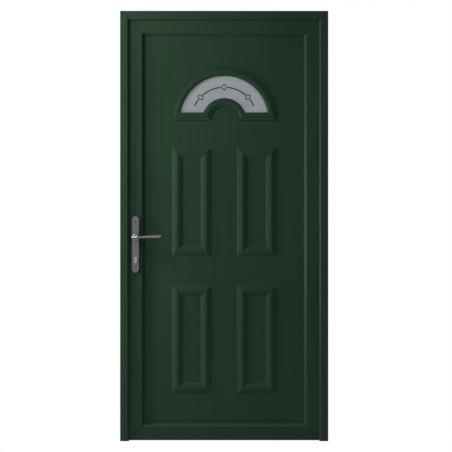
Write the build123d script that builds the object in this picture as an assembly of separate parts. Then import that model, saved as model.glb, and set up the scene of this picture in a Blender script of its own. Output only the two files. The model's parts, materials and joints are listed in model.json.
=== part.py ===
"""Aluminium entry door with its frame, in millimetres.

X runs from the lock side to the hinge side, Y from outdoors to indoors and Z up.
The origin is on the floor, midway between the jambs, in the middle plane of the leaf.
The leaf opens indoors, about the barrel hinges on its right-hand edge.
"""
import os
from math import asin, atan2, cos, degrees, radians, sin, sqrt

from build123d import *

# Frame: two jambs and a head of insulated aluminium profile, with no threshold
frame_width = 1040.0
frame_height = 2150.0
frame_face = 36.0
frame_bevel = 9.0
frame_chamber = 27.5
frame_lip = 10.0
frame_outer_depth = 22.0
frame_break = 20.0
frame_inner_depth = 28.0

# Leaf: two stiles and two rails of the same kind of profile
leaf_depth = 70.0
leaf_face = 62.0
leaf_bevel = 12.0
leaf_chamber = 66.0
leaf_leg = 13.0
leaf_break = 20.0
leaf_cover = 6.0
floor_gap = 3.0
bevel_edge = 1.0
wall = 2.0
edge_round = 1.0
gasket_gap = 5.0
strip_thickness = 2.0
strip_inset = 3.0
groove_width = 24.0
groove_depth = 3.0
cleat_leg = 60.0
cleat_web = 4.0
cleat_fit = 0.3
running_gap = 0.3

# Rubber: stop and overlap gaskets, glazing gaskets and the sweep seal
gasket_taper = 1.0
gasket_shoulder = 0.25
gasket_inset = 0.5
gasket_proud = 1.0
seal_fit = 0.2
seal_lip = 2.0
seal_clear = 1.0

# Insulated panel and its glazing beads
panel_thickness = 30.0
skin = 2.0
panel_bite = 11.0
bead_wall = 1.5
inner_gasket_gap = 4.0

# Pressed rectangular mouldings, two above and two below
moulding_width = 196.0
moulding_band = 52.0
moulding_spacing = 130.0
lower_moulding_low = 237.0
lower_moulding_high = 776.0
upper_moulding_low = 923.0
fanlight_to_moulding = 139.0
moulding_rise = 8.5
moulding_ledge = 4.6
moulding_slope = 0.8
moulding_steps = (
    (0.0, 0.0),
    (0.26, moulding_ledge),
    (0.62, moulding_ledge + moulding_slope),
    (0.84, moulding_rise),
)

# Fanlight: half a ring of satin glass in a raised frame
fan_drop = 544.0
fan_outer = 260.0
fan_inner = 72.0
fan_band = 38.0
fan_step = 9.5
fan_rise = 9.0
fan_base_rise = 5.0
fan_crown_edge = 0.4
fan_bite = 12.0
fan_fit = 3.0
pane = 4.0
pane_setback = 3.0
decor_radius = 165.0
decor_line = 6.5
decor_thin = 4.5
decor_depth = 1.0
decor_square = 26.0
decor_angle = 46.0
decor_end = 64.5
decor_gap = 0.4

# Handle set, spindle and cylinder
backset = 38.0
lever_z = 1019.0
cylinder_drop = 106.0
plate_width = 35.0
plate_thickness = 8.0
plate_above_lever = 106.0
plate_below_lever = 178.0
plate_shoulder = 12.0
plate_screw_above = 76.0
plate_screw_below = 151.0
plate_screw = 5.0
plate_bevel = 1.6
plate_cover = 2.5
lever_reach = 132.0
lever_rise = 5.0
lever_standoff = 50.0
boss_diameter = 40.0
boss_height = 9.0
boss_dome = 2.5
spigot_radius = 9.0
spigot_start = 1.5
neck_radius = 7.6
elbow_radius = 8.0
grip_radius = 10.2
grip_waist = 6.4
grip_tip = 30.0
grip_end = 6.5
spindle_side = 8.0
spindle_reach = 36.0
spindle_fit = 0.1
hole_clear = 1.0
plug_diameter = 13.0
cylinder_diameter = 17.0
cylinder_stem = 10.0
cylinder_height = 33.0
cylinder_proud = 2.5
cam_thickness = 9.6
cam_reach = 14.5
cam_width = 6.0
keyway_width = 2.4
keyway_height = 8.6
keyway_depth = 25.0
running_fit = 0.08

# Lock: case, latch, deadbolt, end bolts and the rods that drive them
faceplate_thickness = 3.0
faceplate_tail = 20.0
plate_fit = 0.1
case_thickness = 15.0
case_wall = 1.5
case_depth = 57.0
case_above_lever = 71.0
case_below_lever = 139.0
bolt_thickness = 10.0
bolt_throw = 20.0
bolt_sink = 0.5
deadbolt_length = 40.0
end_bolt_length = 32.0
latch_travel = 8.8
nose_length = 12.0
nose_tip = 3.5
tab_gap = 1.8
tab_clear = 1.5
tab_width = 4.5
tail_height = 10.0
tail_rise = 8.0
latch_above_lever = 13.0
latch_height = 30.0
deadbolt_below_lever = 30.0
deadbolt_height = 40.0
end_bolt_height = 24.0
end_box_height = 80.0
end_box_depth = 42.0
upper_bolt_drop = 450.0
lower_bolt_z = 420.0
rod_width = 12.0
rod_thickness = 3.0
rod_start = 5.0
slot_gap = 0.8
follower_radius = 11.0
follower_boss = 8.5
lobe_half = 3.0
lobe_reach = 17.0
lock_screw = 4.0
lock_screw_length = 12.0
cylinder_screw = 5.0
cylinder_screw_rise = 4.6
screw_head = 0.95
screw_sink = 0.55
screw_grow = 0.05
strike_thickness = 1.5
strike_margin = 24.0
strike_end = 10.0
strike_gap = 0.8

# Barrel hinges
hinge_end = 250.0
hinge_height = 120.0
hinge_knuckle = 50.0
hinge_radius = 8.0
hinge_pin = 5.0
hinge_flap = 5.0
hinge_flap_width = 38.0
hinge_flap_gap = 1.0
hinge_flap_corner = 3.0
hinge_foot_inset = 2.0
hinge_clear = 0.5
hinge_offset = 3.0
pin_fit = 0.05
pin_cap = 4.0
foot_bevel = 4.0

# Fixing holes through the jambs
fixing_diameter = 8.5
fixing_low = 200.0
fixing_drop = 210.0
fixing_count = 4

# Planes that the sizes above fix
leaf_front = -leaf_depth / 2
leaf_back = leaf_depth / 2
frame_front = leaf_front - gasket_gap - frame_lip
frame_back = frame_front + frame_outer_depth + frame_break + frame_inner_depth
half_width = frame_width / 2
frame_lip_edge = frame_face + frame_bevel
leaf_inset = frame_lip_edge - leaf_cover
leaf_half = half_width - leaf_inset
leaf_low = floor_gap
leaf_high = frame_height - leaf_inset
leaf_inner_edge = leaf_cover + leaf_face + leaf_bevel
rebate_air = leaf_inset - frame_chamber
leaf_lip = rebate_air + leaf_cover
glass_leg_back = leaf_front + leaf_leg
panel_front = glass_leg_back + gasket_gap
panel_back = panel_front + panel_thickness
panel_inset = leaf_inner_edge - panel_bite
bead_front = panel_back + inner_gasket_gap
lock_edge = -leaf_half
lever_x = lock_edge + backset
cylinder_z = lever_z - cylinder_drop
plate_low = lever_z - plate_below_lever
plate_high = lever_z + plate_above_lever
plate_screw_heights = (lever_z - plate_screw_below, lever_z + plate_screw_above)
case_low = lever_z - case_below_lever
case_high = lever_z + case_above_lever
latch_low = lever_z + latch_above_lever
latch_high = latch_low + latch_height
deadbolt_high = lever_z - deadbolt_below_lever
deadbolt_low = deadbolt_high - deadbolt_height
upper_bolt_z = frame_height - upper_bolt_drop
hinge_heights = {
    "top": frame_height - hinge_end,
    "middle": frame_height / 2,
    "bottom": hinge_end,
}
fixing_pitch = (frame_height - fixing_low - fixing_drop) / (fixing_count - 1)
fixing_heights = [fixing_low + fixing_pitch * step for step in range(fixing_count)]
fan_base = frame_height - fan_drop
lower_moulding = (lower_moulding_low, lower_moulding_high)
upper_moulding = (upper_moulding_low, fan_base - fanlight_to_moulding)

parts = {}


def section(*points):
    """A closed flat outline through the points."""
    return make_face(Polyline(*points, close=True))


def soften(outline, corners, radius=edge_round):
    """Round the named corners of a flat outline."""
    chosen = [outline.vertices().sort_by_distance((x, y, 0))[0] for x, y in corners]
    return fillet(chosen, radius)


def hollow(outline, thickness=wall):
    """The walls of an extruded chamber."""
    return outline - offset(outline, amount=-thickness, kind=Kind.INTERSECTION)


def slab(outline, y_low, y_high):
    """A flat outline drawn in X and Z, made solid from y_low to y_high."""
    plane = Plane(origin=(0, y_high, 0), x_dir=(1, 0, 0), z_dir=(0, -1, 0))
    return extrude(plane * outline, amount=y_high - y_low, dir=(0, -1, 0))


def block(x, y, z):
    """A rectangular solid between the two ends given for each axis."""
    size = [abs(b - a) for a, b in (x, y, z)]
    centre = [(a + b) / 2 for a, b in (x, y, z)]
    return Pos(*centre) * Box(*size)


def rod_y(x, z, radius, y_low, y_high):
    """A round rod or hole along Y."""
    return slab(Pos(x, z) * Circle(radius), y_low, y_high)


def rod_x(y, z, radius, x_low, x_high):
    """A round rod or hole along X."""
    plane = Plane(origin=(x_low, y, z), x_dir=(0, 1, 0), z_dir=(1, 0, 0))
    return plane * extrude(Circle(radius), amount=x_high - x_low, dir=(0, 0, 1))


def run(left, right, low, high):
    """Working planes of the four sides of a rectangle, each with its length.

    In each plane x points inwards from the outer edge, y indoors, and z along the side.
    """
    across = right - left
    up = high - low
    return {
        "lock": (Plane(origin=(left, 0, low), x_dir=(1, 0, 0), z_dir=(0, 0, 1)), up),
        "top": (Plane(origin=(left, 0, high), x_dir=(0, 0, -1), z_dir=(1, 0, 0)), across),
        "hinge": (Plane(origin=(right, 0, high), x_dir=(-1, 0, 0), z_dir=(0, 0, -1)), up),
        "bottom": (Plane(origin=(right, 0, low), x_dir=(0, 0, 1), z_dir=(-1, 0, 0)), across),
    }


def bar(profile, side, mitres=(True, True), overruns=(0, 0)):
    """One side of a rectangle: a profile extruded along it and mitred at its ends.

    An overrun carries a lip that stands outside the outer edge past the mitre's corner.
    """
    plane, length = side
    start, end = overruns
    solid = Pos(0, 0, -start) * extrude(profile, amount=length + start + end, dir=(0, 0, 1))
    if mitres[0]:
        start_mitre = Plane(origin=(0, 0, 0), z_dir=(1, 0, -1))
        solid = split(solid, bisect_by=start_mitre, keep=Keep.BOTTOM)
    if mitres[1]:
        end_mitre = Plane(origin=(0, 0, length), z_dir=(1, 0, 1))
        solid = split(solid, bisect_by=end_mitre, keep=Keep.BOTTOM)
    return plane * solid


def loop(profile, left, right, low, high):
    """A profile carried round all four sides, joined at its mitres into one piece."""
    bars = [bar(profile, side) for side in run(left, right, low, high).values()]
    return sum(bars[1:], bars[0])


def gather(pieces):
    """Like pieces that share a node, still separate solids."""
    solids = [solid for piece in pieces for solid in piece.solids()]
    return Compound(solids)


# Frame profiles
frame_sides = run(-half_width, half_width, 0, frame_height)
frame_lip_back = frame_front + frame_lip
frame_outer_back = frame_front + frame_outer_depth
frame_inner_front = frame_outer_back + frame_break
frame_outer_outline = section(
    (0, frame_front),
    (frame_face, frame_front),
    (frame_lip_edge, frame_front + frame_bevel),
    (frame_lip_edge, frame_lip_back),
    (frame_chamber, frame_lip_back),
    (frame_chamber, frame_outer_back),
    (0, frame_outer_back),
)
frame_outer_profile = soften(
    hollow(frame_outer_outline),
    [(frame_face, frame_front), (frame_lip_edge, frame_front + frame_bevel)],
)
frame_inner_profile = hollow(
    section(
        (0, frame_inner_front),
        (frame_chamber, frame_inner_front),
        (frame_chamber, frame_back),
        (0, frame_back),
    )
)
frame_bars = {
    "lock": ("lock_jamb", (False, True)),
    "top": ("head", (True, True)),
    "hinge": ("hinge_jamb", (True, False)),
}
for name, (label, mitres) in frame_bars.items():
    parts[label + "_outer_shell"] = bar(frame_outer_profile, frame_sides[name], mitres)
    parts[label + "_inner_shell"] = bar(frame_inner_profile, frame_sides[name], mitres)


def insulating_strips(sides, insets, y_low, y_high):
    """Strips that join the outer and the inner shell of each side.

    An inset is a strip's distance from the side's outer edge.
    """
    strips = []
    for side, mitres in sides:
        for inset in insets:
            profile = section(
                (inset, y_low),
                (inset + strip_thickness, y_low),
                (inset + strip_thickness, y_high),
                (inset, y_high),
            )
            strips.append(bar(profile, side, mitres))
    return strips


parts["frame_thermal_strips"] = gather(
    insulating_strips(
        [(frame_sides[name], mitres) for name, (label, mitres) in frame_bars.items()],
        (strip_inset, frame_chamber - strip_inset - strip_thickness),
        frame_outer_back,
        frame_inner_front,
    )
)


def corner_cleat(corner_x, corner_z, to_x, to_z, near, far, y_low, y_high):
    """An angle that keys two mitred chambers together.

    near and far are the chamber's walls, measured inwards from the outer edges;
    to_x and to_z are 1 or -1 and point from the corner into the rectangle.
    """
    near += cleat_fit
    far -= cleat_fit
    reach = far + cleat_leg
    points = [(near, near), (reach, near), (reach, far), (far, far), (far, reach), (near, reach)]

    def place(corners):
        return section(*[(corner_x + to_x * u, corner_z + to_z * v) for u, v in corners])

    inside = (near + cleat_web, far - cleat_web)
    leg = (far, reach - cleat_web)
    outline = place(points)
    for u, v in ((inside, inside), (leg, inside), (inside, leg)):
        outline -= place([(u[0], v[0]), (u[1], v[0]), (u[1], v[1]), (u[0], v[1])])
    return slab(outline, y_low + cleat_fit, y_high - cleat_fit)


frame_chambers = [
    (frame_front + wall, frame_outer_back - wall),
    (frame_inner_front + wall, frame_back - wall),
]
parts["frame_corner_cleats"] = gather(
    [
        corner_cleat(hand * half_width, frame_height, -hand, -1, wall, frame_chamber - wall, low, high)
        for hand in (-1, 1)
        for low, high in frame_chambers
    ]
)


def gasket_section(low, high, seat, tip):
    """A strip of rubber on a seat, narrowing in two steps towards its tip."""
    shoulder = tip + (seat - tip) * gasket_shoulder
    return section(
        (low, seat),
        (high, seat),
        (high - gasket_taper, shoulder),
        (high - 2 * gasket_taper, tip),
        (low + 2 * gasket_taper, tip),
        (low + gasket_taper, shoulder),
    )


# The stop gasket is seated on the frame's lip and meets the leaf's face
gasket_profile = gasket_section(
    frame_face,
    frame_lip_edge - bevel_edge,
    frame_lip_back,
    leaf_front - running_gap,
)
parts["frame_stop_gasket"] = (
    bar(gasket_profile, frame_sides["lock"], (False, True))
    + bar(gasket_profile, frame_sides["top"])
    + bar(gasket_profile, frame_sides["hinge"], (True, False))
)

# Leaf profiles
leaf_sides = run(-leaf_half, leaf_half, leaf_low, leaf_high)
leaf_outer_back = -leaf_break / 2
leaf_inner_front = leaf_break / 2
leaf_flat = leaf_cover + leaf_face
groove_half = groove_width / 2
leaf_outer_outline = section(
    (0, leaf_front),
    (leaf_flat, leaf_front),
    (leaf_inner_edge, glass_leg_back - bevel_edge),
    (leaf_inner_edge, glass_leg_back),
    (leaf_chamber, glass_leg_back),
    (leaf_chamber, leaf_outer_back),
    (groove_depth, leaf_outer_back),
    (groove_depth, -groove_half),
    (0, -groove_half),
)
leaf_outer_profile = soften(
    hollow(leaf_outer_outline),
    [(leaf_flat, leaf_front), (0, leaf_front)],
)
leaf_lip_front = frame_back + gasket_gap


def leaf_inner_profile(lip):
    """The indoor shell, with or without the lip that covers the frame."""
    points = [
        (leaf_chamber, leaf_back),
        (leaf_chamber, leaf_inner_front),
        (groove_depth, leaf_inner_front),
        (groove_depth, groove_half),
        (0, groove_half),
    ]
    if lip:
        points += [(0, leaf_lip_front), (-lip, leaf_lip_front), (-lip, leaf_back)]
    else:
        points += [(0, leaf_back)]
    return hollow(section(*points))


leaf_bars = {
    "lock": ("lock_stile", leaf_lip, (0, leaf_lip)),
    "top": ("top_rail", leaf_lip, (leaf_lip, leaf_lip)),
    "hinge": ("hinge_stile", leaf_lip, (leaf_lip, 0)),
    "bottom": ("bottom_rail", 0, (0, 0)),
}
for name, (label, lip, overruns) in leaf_bars.items():
    parts[label + "_outer_shell"] = bar(leaf_outer_profile, leaf_sides[name])
    parts[label + "_inner_shell"] = bar(leaf_inner_profile(lip), leaf_sides[name], overruns=overruns)

rod_inset = groove_depth + running_gap
leaf_strips = insulating_strips(
    [(side, (True, True)) for side in leaf_sides.values()],
    (rod_inset + rod_thickness + strip_inset, leaf_chamber - strip_thickness - bead_wall),
    leaf_outer_back,
    leaf_inner_front,
)

leaf_chambers = [
    (leaf_front + wall, leaf_outer_back - wall),
    (leaf_inner_front + wall, leaf_back - wall),
]
parts["leaf_corner_cleats"] = gather(
    [
        corner_cleat(
            hand * leaf_half,
            leaf_high if up < 0 else leaf_low,
            -hand,
            up,
            groove_depth + wall,
            leaf_chamber - wall,
            low,
            high,
        )
        for hand in (-1, 1)
        for up in (-1, 1)
        for low, high in leaf_chambers
    ]
)

# The overlap gasket is seated on the leaf's lip and meets the frame indoors
overlap_profile = gasket_section(
    gasket_inset - leaf_lip,
    -rebate_air - gasket_inset,
    leaf_lip_front,
    frame_back + running_gap,
)
parts["leaf_overlap_gasket"] = (
    bar(overlap_profile, leaf_sides["lock"], (False, True), (0, leaf_lip))
    + bar(overlap_profile, leaf_sides["top"], overruns=(leaf_lip, leaf_lip))
    + bar(overlap_profile, leaf_sides["hinge"], (True, False), (leaf_lip, 0))
)

# Glazing beads hold the panel from indoors
bead_profile = hollow(
    section(
        (leaf_chamber, bead_front),
        (leaf_inner_edge, bead_front),
        (leaf_inner_edge, leaf_back - leaf_bevel / 2),
        (leaf_inner_edge - leaf_bevel / 2, leaf_back),
        (leaf_chamber, leaf_back),
    ),
    bead_wall,
)
parts["panel_beads"] = gather([bar(bead_profile, side) for side in leaf_sides.values()])


def glazing_gasket(y_low, y_high):
    """A wedge of rubber between the panel's edge and the leaf."""
    proud = leaf_inner_edge + gasket_proud
    return section(
        (panel_inset + gasket_proud, y_low),
        (proud, y_low),
        (proud + gasket_proud, (y_low + y_high) / 2),
        (proud, y_high),
        (panel_inset + gasket_proud, y_high),
    )


gasket_box = (-leaf_half, leaf_half, leaf_low, leaf_high)
parts["panel_gaskets"] = gather(
    [
        loop(glazing_gasket(glass_leg_back, panel_front), *gasket_box),
        loop(glazing_gasket(panel_back, bead_front), *gasket_box),
    ]
)

# Sweep seal in the groove under the leaf
seal_half = leaf_half - groove_depth
seal_edge = groove_half - seal_fit
seal_base = leaf_low + seal_fit
bottom_seal = block((-seal_half, seal_half), (-seal_edge, seal_edge), (seal_base, leaf_low + groove_depth))
for lip_edge in (-3 * seal_lip, seal_lip):
    lip = (lip_edge, lip_edge + 2 * seal_lip)
    bottom_seal += block((-seal_half, seal_half), lip, (seal_clear, seal_base))
parts["bottom_seal"] = bottom_seal


def moulding_section(face, outwards, sheet=0.0):
    """Section of a pressed moulding: a crown between two stepped ledges.

    outwards is the direction of the relief along Y. A sheet thickness gives the
    hollow behind it, which reaches the back of the skin.
    """
    half = moulding_band / 2
    inset = sheet / 2
    rising = [(half * share + inset, face + outwards * (rise - sheet)) for share, rise in moulding_steps]
    falling = [(moulding_band - u, y) for u, y in reversed(rising)]
    return section(*rising, *falling)


mouldings = [
    (centre - moulding_width / 2, centre + moulding_width / 2, low, high)
    for centre in (-(moulding_spacing + moulding_width) / 2, (moulding_spacing + moulding_width) / 2)
    for low, high in (upper_moulding, lower_moulding)
]


def fan_outline(inset):
    """Half a ring on a level base line: the fanlight's outline, moved inwards all round."""
    ring = Circle(fan_outer - inset) - Circle(fan_inner + inset)
    above = Pos(0, inset + fan_outer / 2) * Rectangle(2 * fan_outer, fan_outer)
    return Pos(0, fan_base) * (ring & above)


fan_opening = fan_outline(fan_band)
fan_glass = fan_outline(fan_band - fan_bite)
fan_hole = fan_outline(fan_band - fan_bite - fan_fit)
panel_half = leaf_half - panel_inset
panel_low = leaf_low + panel_inset
panel_high = leaf_high - panel_inset
panel_outline = Pos(0, (panel_low + panel_high) / 2) * Rectangle(2 * panel_half, panel_high - panel_low)


def pressed_skin(face, outwards):
    """A sheet with four mouldings pressed into it, hollow behind."""
    back = face - outwards * skin
    sheet = slab(panel_outline - fan_hole, min(face, back), max(face, back))
    for edges in mouldings:
        sheet += loop(moulding_section(face, outwards), *edges)
    for edges in mouldings:
        sheet -= loop(moulding_section(face, outwards, skin), *edges)
    return sheet


core = slab(panel_outline - fan_hole, panel_front + skin, panel_back - skin)
for edges in mouldings:
    core += loop(moulding_section(panel_front, -1, skin), *edges)
    core += loop(moulding_section(panel_back, 1, skin), *edges)
parts["panel_outer_skin"] = pressed_skin(panel_front, -1)
parts["panel_core"] = core
parts["panel_inner_skin"] = pressed_skin(panel_back, 1)

# Fanlight
fan_frame_outline = fan_outline(0) - fan_opening
fan_crown_outline = fan_outline(fan_step) - fan_outline(fan_band - fan_step / 2)
fan_rib_outline = fan_glass - fan_opening


def fan_frame(face, outwards):
    """A raised band round the glass, with a rib behind it that seats the pane."""

    def layer(outline, start, end):
        return slab(outline, min(start, end), max(start, end))

    base = layer(fan_frame_outline, face, face + outwards * fan_base_rise)
    crown = layer(fan_crown_outline, face, face + outwards * fan_rise)
    crown_face = crown.faces().sort_by(Axis.Y)[0 if outwards < 0 else -1]
    crown = chamfer(crown_face.edges(), fan_rise - fan_base_rise - fan_crown_edge)
    rib = layer(fan_rib_outline, face - outwards * pane_setback, face)
    return base + crown + rib


parts["fanlight_outer_frame"] = fan_frame(panel_front, -1)
parts["fanlight_inner_frame"] = fan_frame(panel_back, 1)
outer_pane_front = panel_front + pane_setback
inner_pane_back = panel_back - pane_setback
parts["fanlight_outer_pane"] = slab(fan_glass, outer_pane_front, outer_pane_front + pane)
parts["fanlight_inner_pane"] = slab(fan_glass, inner_pane_back - pane, inner_pane_back)
parts["fanlight_spacer"] = slab(fan_glass - fan_opening, outer_pane_front + pane, inner_pane_back - pane)


def square_ring(x, z, side, turn):
    """The outline of a small square, as a thin line."""
    inner = side - 2 * decor_thin
    return Pos(x, z) * Rot(0, 0, turn) * (Rectangle(side, side) - Rectangle(inner, inner))


def arc_strip(start, end):
    """A curved strip on the decor's radius between two angles from the vertical."""
    ring = Circle(decor_radius + decor_line / 2) - Circle(decor_radius - decor_line / 2)
    far = 2 * decor_radius
    corners = [(far * sin(radians(a)), far * cos(radians(a))) for a in (start, (start + end) / 2, end)]
    return Pos(0, fan_base) * (ring & section((0, 0), *corners))


square_corner = decor_square / sqrt(2) + decor_gap
square_angle = degrees(asin(square_corner / decor_radius))
decor = [square_ring(0, fan_base + decor_radius, decor_square, 45)]
for hand in (-1, 1):
    x = hand * decor_radius * sin(radians(decor_angle))
    z = fan_base + decor_radius * cos(radians(decor_angle))
    decor.append(square_ring(x, z, decor_square, 0))
    decor.append(arc_strip(hand * square_angle, hand * (decor_angle - square_angle)))
    decor.append(arc_strip(hand * (decor_angle + square_angle), hand * decor_end))
parts["fanlight_decor"] = gather(
    [slab(line, outer_pane_front - decor_depth, outer_pane_front) for line in decor]
)


def euro_profile(clearance=0.0):
    """Outline of the cylinder: a round head on a narrower stem."""
    head = cylinder_diameter / 2 + clearance
    half_stem = cylinder_stem / 2
    foot = cylinder_height - cylinder_diameter / 2 - half_stem
    outline = (
        Circle(head)
        + Pos(0, -foot / 2) * Rectangle(cylinder_stem + 2 * clearance, foot)
        + Pos(0, -foot) * Circle(half_stem + clearance)
    )
    return Pos(lever_x, cylinder_z) * outline


# Lock: everything is set out from the faceplate at the leaf's edge
end_box_half = end_box_height / 2
faceplate_low = lower_bolt_z - end_box_half - faceplate_tail
faceplate_high = upper_bolt_z + end_box_half + faceplate_tail
rod_gaps = ((lower_bolt_z + end_box_half, case_low), (case_high, upper_bolt_z - end_box_half))
screw_heights = [faceplate_low + 2 * lock_screw, faceplate_high - 2 * lock_screw]
for low, high in rod_gaps:
    screw_heights += [low + (high - low) * share for share in (1 / 3, 2 / 3)]
bolt_half = bolt_thickness / 2
case_half = case_thickness / 2
case_front = lock_edge + faceplate_thickness
case_back = case_front + case_depth
end_bolt_heights = (lower_bolt_z, upper_bolt_z)
cylinder_screw_z = cylinder_z + cylinder_diameter / 2 - cylinder_height + cylinder_screw_rise


def bolt_window(low, high, gap, x):
    """Clear way for a bolt through a plate or a wall."""
    return block(x, (-bolt_half - gap, bolt_half + gap), (low - gap, high + gap))


def bolt_windows(x, gap=running_gap):
    """The ways of the deadbolt, the latch and both end bolts."""
    ways = [(deadbolt_low, deadbolt_high), (latch_low, latch_high)]
    ways += [(z - end_bolt_height / 2, z + end_bolt_height / 2) for z in end_bolt_heights]
    return [bolt_window(low, high, gap, x) for low, high in ways]


def countersunk(head_centre, towards, diameter, length, head, grow=0.0):
    """A countersunk screw that runs from its head's face in one direction."""
    radius = diameter / 2 + grow
    base = (Align.CENTER, Align.CENTER, Align.MIN)
    cone = Cone(diameter * screw_head + grow, radius, head, align=base)
    shank = Cylinder(radius, length, align=base)
    return Plane(origin=head_centre, z_dir=towards) * (cone + shank)


cylinder_screw_length = lever_x + cylinder_stem / 2 - lock_edge - running_gap


def lock_screws(grow=0.0):
    """Faceplate screws, and the long screw that holds the cylinder."""
    along = (1, 0, 0)
    screws = [
        countersunk((lock_edge, 0, z), along, lock_screw, lock_screw_length, screw_sink * lock_screw, grow)
        for z in screw_heights
    ]
    cylinder_head = (lock_edge, 0, cylinder_screw_z)
    sink = screw_sink * cylinder_screw
    screws.append(countersunk(cylinder_head, along, cylinder_screw, cylinder_screw_length, sink, grow))
    return screws


faceplate = block(
    (lock_edge, lock_edge + faceplate_thickness),
    (-groove_half + plate_fit, groove_half - plate_fit),
    (faceplate_low, faceplate_high),
)
for cut in bolt_windows((lock_edge - 1, case_front + 1)) + lock_screws(screw_grow):
    faceplate -= cut
parts["lock_faceplate"] = faceplate
parts["lock_screws"] = gather(lock_screws())

rod_half = rod_width / 2
rod_x_span = (lock_edge + rod_inset, lock_edge + rod_inset + rod_thickness)


def rod_channel(low, high):
    """Clear way for a drive rod through the end of a case."""
    x_span = (rod_x_span[0] - running_gap, rod_x_span[1] + running_gap)
    y_end = rod_half + running_gap
    return block(x_span, (-y_end, y_end), (low, high))


def open_case(low, high, depth):
    """A folded case, open towards the faceplate, with the rods' ways in its ends."""
    back = case_front + depth
    outer = block((case_front, back), (-case_half, case_half), (low, high))
    inner = block(
        (case_front - 1, back - case_wall),
        (-case_half + case_wall, case_half - case_wall),
        (low + case_wall, high - case_wall),
    )
    return outer - inner - rod_channel(low - 1, high + 1)


lock_case = open_case(case_low, case_high, case_depth)
lock_case -= rod_y(lever_x, lever_z, follower_boss + running_fit, -case_half - 1, case_half + 1)
lock_case -= slab(euro_profile(running_gap), -case_half - 1, case_half + 1)
parts["lock_case"] = lock_case
parts["end_lock_boxes"] = gather(
    [open_case(z - end_box_half, z + end_box_half, end_box_depth) for z in end_bolt_heights]
)

# Follower with its lobe, and the square spindle through it
inner_face = case_half - case_wall - running_gap
follower_disc = Circle(follower_radius) + Pos(0, lobe_reach / 2) * Rectangle(2 * lobe_half, lobe_reach)
follower = slab(Pos(lever_x, lever_z) * follower_disc, -inner_face, inner_face)
follower += rod_y(lever_x, lever_z, follower_boss, -case_half, case_half)
spindle_hole = spindle_side + spindle_fit
spindle_span = (leaf_back + spindle_reach) * 2
follower -= block(
    (lever_x - spindle_hole / 2, lever_x + spindle_hole / 2),
    (-leaf_depth, leaf_depth),
    (lever_z - spindle_hole / 2, lever_z + spindle_hole / 2),
)
parts["lock_follower"] = follower
parts["spindle"] = Pos(lever_x, 0, lever_z) * Box(spindle_side, spindle_span, spindle_side)

# Latch: a bevelled nose, and a tail whose tab stands beside the follower's lobe
tab_left = lever_x + lobe_half + tab_gap
tab_low = lever_z + follower_radius + tab_clear
nose_end = lock_edge + nose_length
latch_nose = section(
    (lock_edge - latch_travel, bolt_half),
    (lock_edge - latch_travel, bolt_half - nose_tip),
    (lock_edge - 1, -bolt_half),
    (nose_end, -bolt_half),
    (nose_end, bolt_half),
)
latch = Pos(0, 0, latch_low) * extrude(latch_nose, amount=latch_high - latch_low, dir=(0, 0, 1))
tail_low = (latch_low + latch_high - tail_height) / 2 + tail_rise
tail_high = tail_low + tail_height
latch += block((nose_end - 1, tab_left + tab_width), (-bolt_half, bolt_half), (tail_low, tail_high))
latch += block((tab_left, tab_left + tab_width), (-bolt_half, bolt_half), (tab_low, tail_high))
parts["latch_bolt"] = latch


def square_bolt(low, high, length):
    """A retracted bolt with its leading edges broken."""
    front = lock_edge + bolt_sink
    bolt = block((front, front + length), (-bolt_half, bolt_half), (low, high))
    return chamfer(bolt.faces().sort_by(Axis.X)[0].edges(), bevel_edge)


parts["deadbolt"] = square_bolt(deadbolt_low, deadbolt_high, deadbolt_length)
end_bolt_half = end_bolt_height / 2
parts["end_bolts"] = gather(
    square_bolt(z - end_bolt_half, z + end_bolt_half, end_bolt_length) for z in end_bolt_heights
)

# Drive rods slide up by one throw, slotted where screws cross them
rod_cut_x = (rod_x_span[0] - 1, rod_x_span[1] + 1)
drive_rods = []
for below, above in rod_gaps:
    low = below - rod_start - bolt_throw
    high = above + rod_start
    rod = block(rod_x_span, (-rod_half, rod_half), (low, high))
    slot = lock_screw / 2 + slot_gap
    for z in screw_heights:
        if low < z < high:
            rod -= block(rod_cut_x, (-slot, slot), (z - bolt_throw - slot, z + slot))
    drive_rods.append(rod)
fork = cylinder_screw / 2 + slot_gap
fork_low = cylinder_screw_z - bolt_throw - fork
drive_rods[0] -= block(rod_cut_x, (-fork, fork), (fork_low, case_low + rod_start + 1))
parts["drive_rods"] = gather(drive_rods)

# Cylinder: body cut away round the cam, two plugs and the cam
cylinder_face = leaf_back + plate_thickness + cylinder_proud
cam_space = cam_thickness / 2 + running_gap
cam_sweep = cam_reach + 2 * running_gap
plug_radius = plug_diameter / 2
cylinder_body = slab(euro_profile(), -cylinder_face, cylinder_face)
cylinder_body -= rod_y(lever_x, cylinder_z, cam_sweep, -cam_space, cam_space)
cylinder_body -= rod_y(lever_x, cylinder_z, plug_radius + running_fit, -cylinder_face, cylinder_face)
cylinder_body -= lock_screws(screw_grow)[-1]
parts["cylinder_body"] = cylinder_body


def plug(outwards):
    """One half of the cylinder's core, with its keyway."""
    start = outwards * cam_space
    end = outwards * cylinder_face
    solid = rod_y(lever_x, cylinder_z, plug_radius, min(start, end), max(start, end))
    mouth = (end - outwards * keyway_depth, end + outwards)
    return solid - block(
        (lever_x - keyway_width / 2, lever_x + keyway_width / 2),
        (min(mouth), max(mouth)),
        (cylinder_z - keyway_height / 2, cylinder_z + keyway_height / 2),
    )


parts["outer_plug"] = plug(-1)
parts["inner_plug"] = plug(1)
cam_outline = Circle(cylinder_diameter / 2 - running_gap)
cam_outline += Pos(0, -cam_reach / 2) * Rectangle(cam_width, cam_reach)
parts["cam"] = slab(Pos(lever_x, cylinder_z) * cam_outline, -cam_thickness / 2, cam_thickness / 2)

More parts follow.
